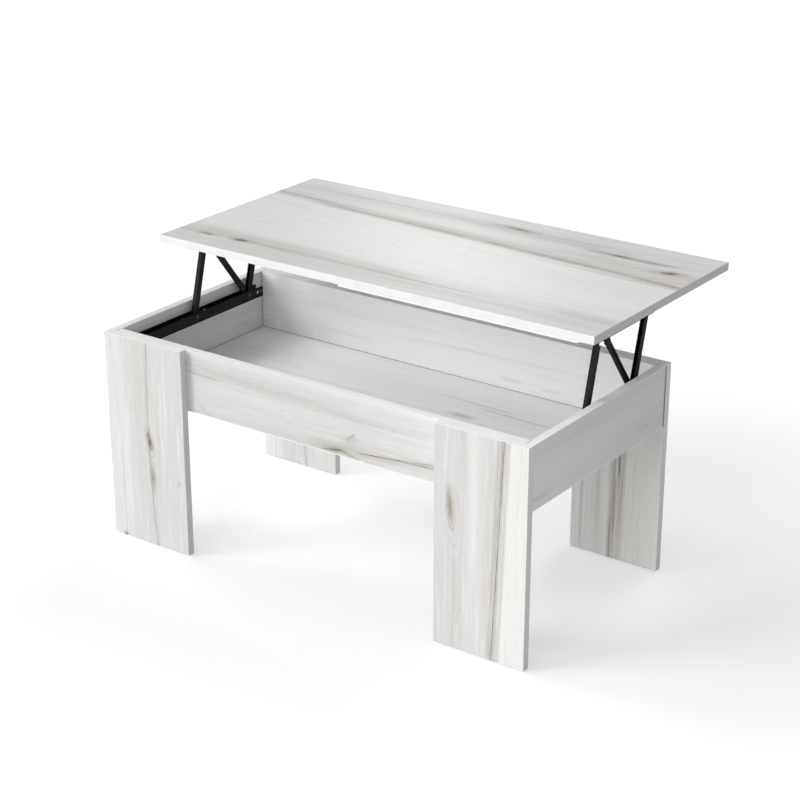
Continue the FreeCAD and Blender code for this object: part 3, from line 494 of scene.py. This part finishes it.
def paint_bottom():
    wood_board(
        "bottom_board", AXIS_X, AXIS_Y, seed=21.2, veil=0.10, base=BOTTOM_PAINTED_LIGHT_WHITE, light=BOTTOM_FIBRE,
        depth=0.7,
        stripes=[stripe(path(105, 0.0), 42, 14, COOL, 0.24, streaky=0.4),
                 stripe(path(-125, 0.03), 32, 20, BEIGE, 0.5)],
        cracks=[crack(path(121, -0.03), 1.1, (60, 215), 0.45, 30),
                crack(path(107, -0.03), 1.2, (170, 330), 0.50, 30),
                crack(path(-60, 0.02), 1.2, (-330, 40), 0.3, 60, 0.15)],
        knots=[knot(150, 52, 15, 5, 0.25, 0.3)],
        eyes=[eye(150, 52, 34, 10, 0.2, 0.2)])


# Looks of the legs: s runs up from the floor, and t to the right as seen from the front.
LINE_LEG = dict(
    veil=0.35, base=FRONT_LEG_PAINTED_SHADE_WHITE,
    sides=[side_of(path(-30, 0.02), 9, ASH, 0.35), side_of(path(-58, 0.0), 6, CREAM, 0.35, above=False)],
    stripes=[stripe(path(-12, 0.0), 16, 6, BEIGE, 0.75, (250, 470), 30, 0.4),
             stripe(path(0, 0.01), 30, 9, ASH, 0.60, (-30, 235), 30, 0.4),
             stripe(path(-52, 0.0), 8, 4, CREAM, 0.35, (40, 290), 30, 0.3),
             stripe(path(30, 0.0), 6, 8, BEIGE, 0.30, (60, 330), 60, 0.6)],
    cracks=[crack(path(17, -0.085, 0.00016), 1.3, (-20, 460), 0.55, 10, wobble=0.9),
            crack(path(-66, 0.0), 0.8, (-20, 210), 0.30, 30, 0.1),
            crack(path(6, 0.5), 0.8, (143, 155), 0.4, 3)],
    knots=[knot(224, 8, 17, 6.0, 0.80, 0.30, -13), knot(147, 12.5, 18, 5.0, 0.42, 0.30, -4),
           knot(0, -69, 5, 4, 0.8, 0.5)],
    eyes=[eye(222, 8, 32, 11, 0.25, 0.2, -10), eye(147, 12.5, 30, 10, 0.25, 0.2),
          eye(-1, -69, 9, 6, 0.4, 0.3)],
    arcs=[arches(330, 34, 130, 17, 34, 0.40), arches(225, 36, 60, 15, 28, 0.35)])

# The rear left leg: a lighter copy of the front left leg's look, painted lighter because it stands in shade
# under the box.
PALE_LEG = {**LINE_LEG, "base": REAR_LEFT_LEG_PAINTED_LIGHT_WHITE, "veil": 0.20,
            "stripes": [stripe(path(-30, 0.01), 22, 8, BEIGE, 0.45, (-30, 260), 30, 0.5)],
            "knots": LINE_LEG["knots"][:2], "eyes": LINE_LEG["eyes"][:2]}

STREAK_LEG = dict(
    veil=0.35, base=FRONT_LEG_PAINTED_SHADE_WHITE,
    sides=[side_of(path(46, 0.030), 2.5, CREAM, 0.80, streaky=0.05),
           side_of(path(-30, 0.0), 14, ASH, 0.50, above=False)],
    stripes=[stripe(path(20, 0.025), 15, 7, BEIGE, 0.75, (90, 470), 70, 0.5),
             stripe(path(25, 0.042), 7, 5, TAUPE, 0.45, (-30, 460), 30, 0.7),
             stripe(path(40, 0.030), 4, 3, COOL, 0.6, (-30, 380), 40, 0.4),
             stripe(path(36, 0.030), 7, 4, TAUPE, 0.42, (-30, 80), 40, 0.5),
             stripe(path(-52, 0.01), 9, 7, BEIGE, 0.55, (-30, 190), 40, 0.5),
             stripe(path(-40, 0.02), 9, 7, BEIGE, 0.70, (320, 460), 40, 0.5),
             stripe(path(-14, 0.0), 10, 8, CREAM, 0.5, (150, 460), 80, 0.4)],
    cracks=[crack(path(28, 0.050, -0.00001), 1.6, (-20, 460), 0.70, 10, 0.4, wobble=1.1),
            crack(path(24, 0.048), 0.9, (200, 460), 0.40, 30, 0.1),
            crack(path(20, 0.040), 0.9, (40, 460), 0.28, 40, 0.1),
            crack(path(43, 0.030), 0.9, (60, 460), 0.22, 40, 0.1),
            crack(path(-55, -0.03), 1.1, (258, 299), 1.0, 5, 0.2, wobble=2.0),
            crack(path(-54, 0.01), 0.9, (-10, 190), 0.30, 30, 0.1)],
    knots=[knot(280, -63, 19, 4.2, 0.28, 0.62, -6)],
    eyes=[eye(262, -57, 58, 14.5, 0.18, 0.10, -2), eye(272, -60, 38, 9, 0.45, 0.60, -3),
          eye(240, -55, 70, 19, 0.10, 0.05, -2), eye(277, -61, 24, 5.5, 0.30, 0.45, -5),
          eye(428, -38, 10, 7, 0.25, 0.3)])

DARK_LEG = dict(
    veil=0.25, base=CREAM,
    sides=[side_of(path(21, 0.01), 3, CREAM, 0.95, streaky=0.1),
           side_of(path(-20, 0.0), 14, COOL, 0.45, above=False)],
    stripes=[stripe(path(3, 0.008), 16, 4, TAUPE, 0.72, streaky=0.65),
             stripe(path(6, 0.006), 10, 6, BROWN, 0.36, (50, 330), 60, 0.8),
             stripe(path(-52, 0.0), 22, 14, BEIGE, 0.22, streaky=0.7),
             stripe(path(-76, 0.0), 4, 4, BEIGE, 0.7, (-30, 260), 60, 0.4),
             stripe(path(-38, 0.0), 6, 6, BEIGE, 0.6, (60, 430), 60, 0.5)],
    cracks=[crack(path(6, 0.004), 2.0, (165, 320), 0.55, 30, 0.35),
            crack(path(-2, 0.01), 1.8, (62, 170), 0.52, 20, 0.35),
            crack(path(-10, 0.01), 1.6, (-20, 84), 0.60, 18, 0.3),
            crack(path(-76, 0.0), 0.9, (-20, 300), 0.25, 40, 0.1),
            crack(path(-38, 0.0), 0.9, (100, 430), 0.20, 40, 0.1)],
    knots=[knot(206, 7, 20, 2.2, 0.5, 0.4)])


def paint_legs():
    looks = {"front_left_leg": (LINE_LEG, 31.3), "front_right_leg": (STREAK_LEG, 37.9),
             "rear_left_leg": (PALE_LEG, 31.3), "rear_right_leg": (DARK_LEG, 43.5)}
    for name, (look, seed) in looks.items():
        wood_board(name, AXIS_Z, AXIS_X, seed, **look)


# ---- plain materials ----
def object_noise(graph, scale, detail=3.0, roughness=0.55):
    """Noise whose features are about 1/scale metres in size."""
    return graph.noise(graph.position(), scale, detail, roughness)


def edge_band(name, pick, tone):
    """White edge band, in another tone where pick says so."""
    g = Graph(name)
    cloud = object_noise(g, 22.0)
    grit = object_noise(g, 1600.0, detail=2.0)
    g.bump(grit, distance=0.00003, strength=0.4)
    color = g.mix(g.step(cloud, 0.35, 0.70), BAND_WHITE, BAND_SHADE)
    color = g.mix(pick(g, g.place()), color, tone)
    return g.surface(color=color, roughness=g.mul_add(grit, 0.12, 0.36))


def below_rim(g, place):
    """1 on the legs' sides and 0 on their upper ends, which part at these metres below the rim."""
    least, most = 0.0008, 0.0014
    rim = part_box("leg_edge_bands")[1].z
    return g.step(place[AXIS_Z], rim - least, rim - most)


def short_sides(g, place):
    """1 on the top's left and right bands, which part from the long ones at these metres inside."""
    least, most = 0.0006, 0.0009
    low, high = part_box("top_edge_bands")
    away = g.math("ABSOLUTE", g.sub(place[AXIS_X], (low.x + high.x) / 2))
    half = (high.x - low.x) / 2
    return g.step(away, half - most, half - least)


def rim_joints(g, place):
    """1 on short lines on the rim, where the aprons end at the side panels. Sizes are in metres."""
    line, core, blend = 0.0011, 0.0004, 0.0005
    middle = origin_of("bottom_board")
    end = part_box("right_side_panel")[0].x - middle[AXIS_X]
    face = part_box("rear_apron")[0].y - middle[AXIS_Y]
    sideways = g.math("ABSOLUTE", g.sub(place[AXIS_X], middle[AXIS_X]))
    away = g.math("ABSOLUTE", g.sub(sideways, end))
    beyond = g.math("ABSOLUTE", g.sub(place[AXIS_Y], middle[AXIS_Y]))
    return g.mul(g.step(away, line, core), g.step(beyond, face, face + blend))


def screw_caps():
    """Plastic caps, each in the tone of the apron that it sits in."""
    g = Graph("screw_caps")
    depth = g.place()[AXIS_Y]
    middle, blend = origin_of("bottom_board")[AXIS_Y], 0.01
    grit = object_noise(g, 1800.0, detail=2.0)
    g.bump(grit, distance=0.00003, strength=0.4)
    tone = g.mix(g.step(depth, middle - blend, middle + blend), FRONT_APRON_PAINTED_SHADE_WHITE, REAR_APRON_PAINTED_LIGHT_WHITE)
    return g.surface(color=g.mix(g.mul(grit, 0.25), tone, BEIGE), roughness=g.mul_add(grit, 0.12, 0.40))


def powder_coat(name, color, rub):
    """Black powder coat with a fine orange peel and slightly rubbed high spots."""
    g = Graph(name)
    peel = object_noise(g, 2600.0, detail=2.0)
    cloud = object_noise(g, 120.0, detail=4.0, roughness=0.65)
    g.bump(peel, distance=0.00006, strength=0.6)
    worn = g.step(cloud, 0.62, 0.80)
    shade = g.mix(g.mul(worn, 0.5), color, rub)
    return g.surface(color=shade, roughness=g.mul_add(cloud, 0.20, 0.40), specular=0.16)


def metal(name, color, dull, roughness):
    """Metal with duller patches and a fine grain."""
    g = Graph(name)
    cloud = object_noise(g, 300.0, detail=4.0, roughness=0.6)
    grain = object_noise(g, 3000.0, detail=2.0)
    g.bump(grain, distance=0.00004, strength=0.5)
    return g.surface(color=g.mix(g.step(cloud, 0.35, 0.7), color, dull), metallic=1.0,
                     roughness=g.mul_add(cloud, 0.25, roughness))


def plastic(name, color, shade, roughness):
    """Plastic with faint clouds and a fine grit."""
    g = Graph(name)
    cloud = object_noise(g, 90.0)
    grit = object_noise(g, 1800.0, detail=2.0)
    g.bump(grit, distance=0.00005, strength=0.5)
    return g.surface(color=g.mix(g.step(cloud, 0.3, 0.7), color, shade),
                     roughness=g.mul_add(grit, 0.15, roughness))


def raw_beech():
    """Plain beech with fine flecks."""
    g = Print("raw_beech", (0.0, 0.0, 0.0), AXIS_X, AXIS_Z, 77.0)
    fleck = g.step(g.field(0.08, 1.4, 3.0, 0.6), 0.45, 0.7)
    return g.surface(color=g.mix(fleck, (0.56, 0.39, 0.24), (0.42, 0.27, 0.15)), roughness=0.7)


def paint_hardware():
    paint(edge_band("edge_band", rim_joints, BAND_JOINT), "rim_edge_bands")
    paint(edge_band("leg_edge_band", below_rim, LEG_SIDE_BAND), "leg_edge_bands")
    paint(edge_band("top_edge_band", short_sides, TOP_SIDE_BAND), "top_edge_bands")
    sides = ("left", "right")
    black = powder_coat("black_steel", color=(0.006, 0.006, 0.0065), rub=(0.014, 0.014, 0.015))
    steel = ("base_rail", "top_bracket", "front_arm", "rear_arm", "lower_stay", "lower_stay_guide",
             "upper_stay")
    paint(black, *[f"{side}_{piece}" for side in sides for piece in steel])
    rivet = metal("black_rivets", color=(0.09, 0.09, 0.095), dull=(0.05, 0.05, 0.052), roughness=0.30)
    paint(rivet, "base_arm_studs", "base_arm_pins", "base_through_rivets", "top_through_rivets",
          "top_arm_studs", "top_arm_pins", "top_stay_rivets", *[f"{side}_upper_stay_pin" for side in sides])
    zinc = metal("zinc_plating", color=(0.66, 0.67, 0.69), dull=(0.50, 0.51, 0.53), roughness=0.24)
    paint(zinc, "corner_cam_bolts", "leg_screws", "bottom_nails", "rail_screws", "bracket_screws")
    casting = metal("zinc_casting", color=(0.50, 0.51, 0.53), dull=(0.38, 0.39, 0.41), roughness=0.38)
    paint(casting, "corner_cam_locks")
    nylon = plastic("black_nylon", color=(0.014, 0.014, 0.015), shade=(0.022, 0.022, 0.023), roughness=0.38)
    paint(nylon, "base_stay_washers", "base_stay_sleeves", "base_pivot_washers", "top_stay_sleeves",
          "top_pivot_washers")
    paint(screw_caps(), "leg_screw_caps")
    glide = plastic("glide_plastic", color=(0.16, 0.16, 0.165), shade=(0.11, 0.11, 0.115), roughness=0.5)
    paint(glide, "leg_glides")
    paint(raw_beech(), "corner_dowels", "leg_dowels")


# ---- studio ----
def base_middle():
    """The point on the floor under the middle of the box."""
    x, y, _ = origin_of("bottom_board")
    return Vector((x, y, 0.0))


def add_camera():
    """The photo's camera: its angles, distance, lens and shift fit the corners that the photo shows."""
    azimuth, elevation, roll = math.radians(36.212), math.radians(23.202), math.radians(-0.214)
    distance, aim_height = 3.9136, 0.250
    back = Vector((math.sin(azimuth) * math.cos(elevation), -math.cos(azimuth) * math.cos(elevation),
                   math.sin(elevation)))
    data = bpy.data.cameras.new("camera")
    data.sensor_width = 36.0
    data.lens = 90.69
    data.shift_x, data.shift_y = 0.0224, 0.0427
    data.clip_end = 100.0
    camera = bpy.data.objects.new("camera", data)
    camera.location = base_middle() + Vector((0.0, 0.0, aim_height)) + back * distance
    camera.rotation_mode = "QUATERNION"
    camera.rotation_quaternion = (-back).to_track_quat("-Z", "Y") @ Quaternion((0.0, 0.0, 1.0), roll)
    bpy.context.scene.collection.objects.link(camera)
    bpy.context.scene.camera = camera


# Name, azimuth, elevation and strength. Azimuth 0 is in front of the table, and 90 at its left.
SUNS = (("left", 90.0, 36.0, 1.39),
        ("front_left_low", 45.0, 12.0, 1.25),
        ("front_left_high", 45.0, 36.0, 1.24),
        ("front", 0.0, 36.0, 0.43),
        ("front_low", 0.0, 12.0, 0.32),
        ("front_right_low", -45.0, 12.0, 0.29),
        ("right_low", -90.0, 12.0, 0.52),
        ("rear_right", -135.0, 36.0, 0.30),
        ("rear", 180.0, 42.0, 0.84))


SUN_WIDTH = 30.0


def add_sun(name, azimuth, elevation, strength):
    """A soft sun, with its angles in degrees."""
    around, up = math.radians(azimuth), math.radians(elevation)
    toward = Vector((-math.sin(around) * math.cos(up), -math.cos(around) * math.cos(up), math.sin(up)))
    data = bpy.data.lights.new(name, "SUN")
    data.energy = strength
    data.angle = math.radians(SUN_WIDTH)
    sun = bpy.data.objects.new(name, data)
    sun.rotation_mode = "QUATERNION"
    sun.rotation_quaternion = toward.to_track_quat("Z", "Y")
    bpy.context.scene.collection.objects.link(sun)


def add_world(level, backdrop):
    """Faint light all round, behind which the camera sees a white backdrop."""
    world = bpy.data.worlds.new("studio")
    world.use_nodes = True
    tree = world.node_tree
    shown = tree.nodes.new("ShaderNodeMix")
    shown.data_type = "FLOAT"
    shown.inputs[2].default_value = level
    shown.inputs[3].default_value = backdrop
    tree.links.new(tree.nodes.new("ShaderNodeLightPath").outputs["Is Camera Ray"], shown.inputs[0])
    background = tree.nodes["Background"]
    background.inputs["Color"].default_value = (1.0, 1.0, 1.0, 1.0)
    tree.links.new(shown.outputs[0], background.inputs["Strength"])
    bpy.context.scene.world = world


def add_floor(lift):
    """White paper. lift is how much brighter the camera sees it than the light makes it."""
    half = 20.0
    mesh = bpy.data.meshes.new("floor")
    corners = [(-half, -half, 0.0), (half, -half, 0.0), (half, half, 0.0), (-half, half, 0.0)]
    mesh.from_pydata(corners, [], [(0, 1, 2, 3)])
    floor = bpy.data.objects.new("floor", mesh)
    bpy.context.scene.collection.objects.link(floor)
    g = Graph("floor_paper")
    cloud = object_noise(g, 3.0, roughness=0.5)
    color = g.mix(cloud, (0.59, 0.59, 0.59), (0.61, 0.61, 0.61))
    glow = g.mul(g.node("ShaderNodeLightPath").outputs["Is Camera Ray"], lift)
    mesh.materials.append(g.surface(color=color, roughness=0.9, specular=0.0, glow=(1.0, 1.0, 1.0),
                                    glow_strength=glow))


def set_studio():
    bpy.context.scene.view_settings.view_transform = "Standard"
    add_world(level=0.08, backdrop=1.0)
    for sun in SUNS:
        add_sun(*sun)
    add_floor(lift=0.43)
    add_camera()


paint_top()
paint_aprons()
paint_side_panels()
paint_bottom()
paint_legs()
paint_hardware()
set_studio()
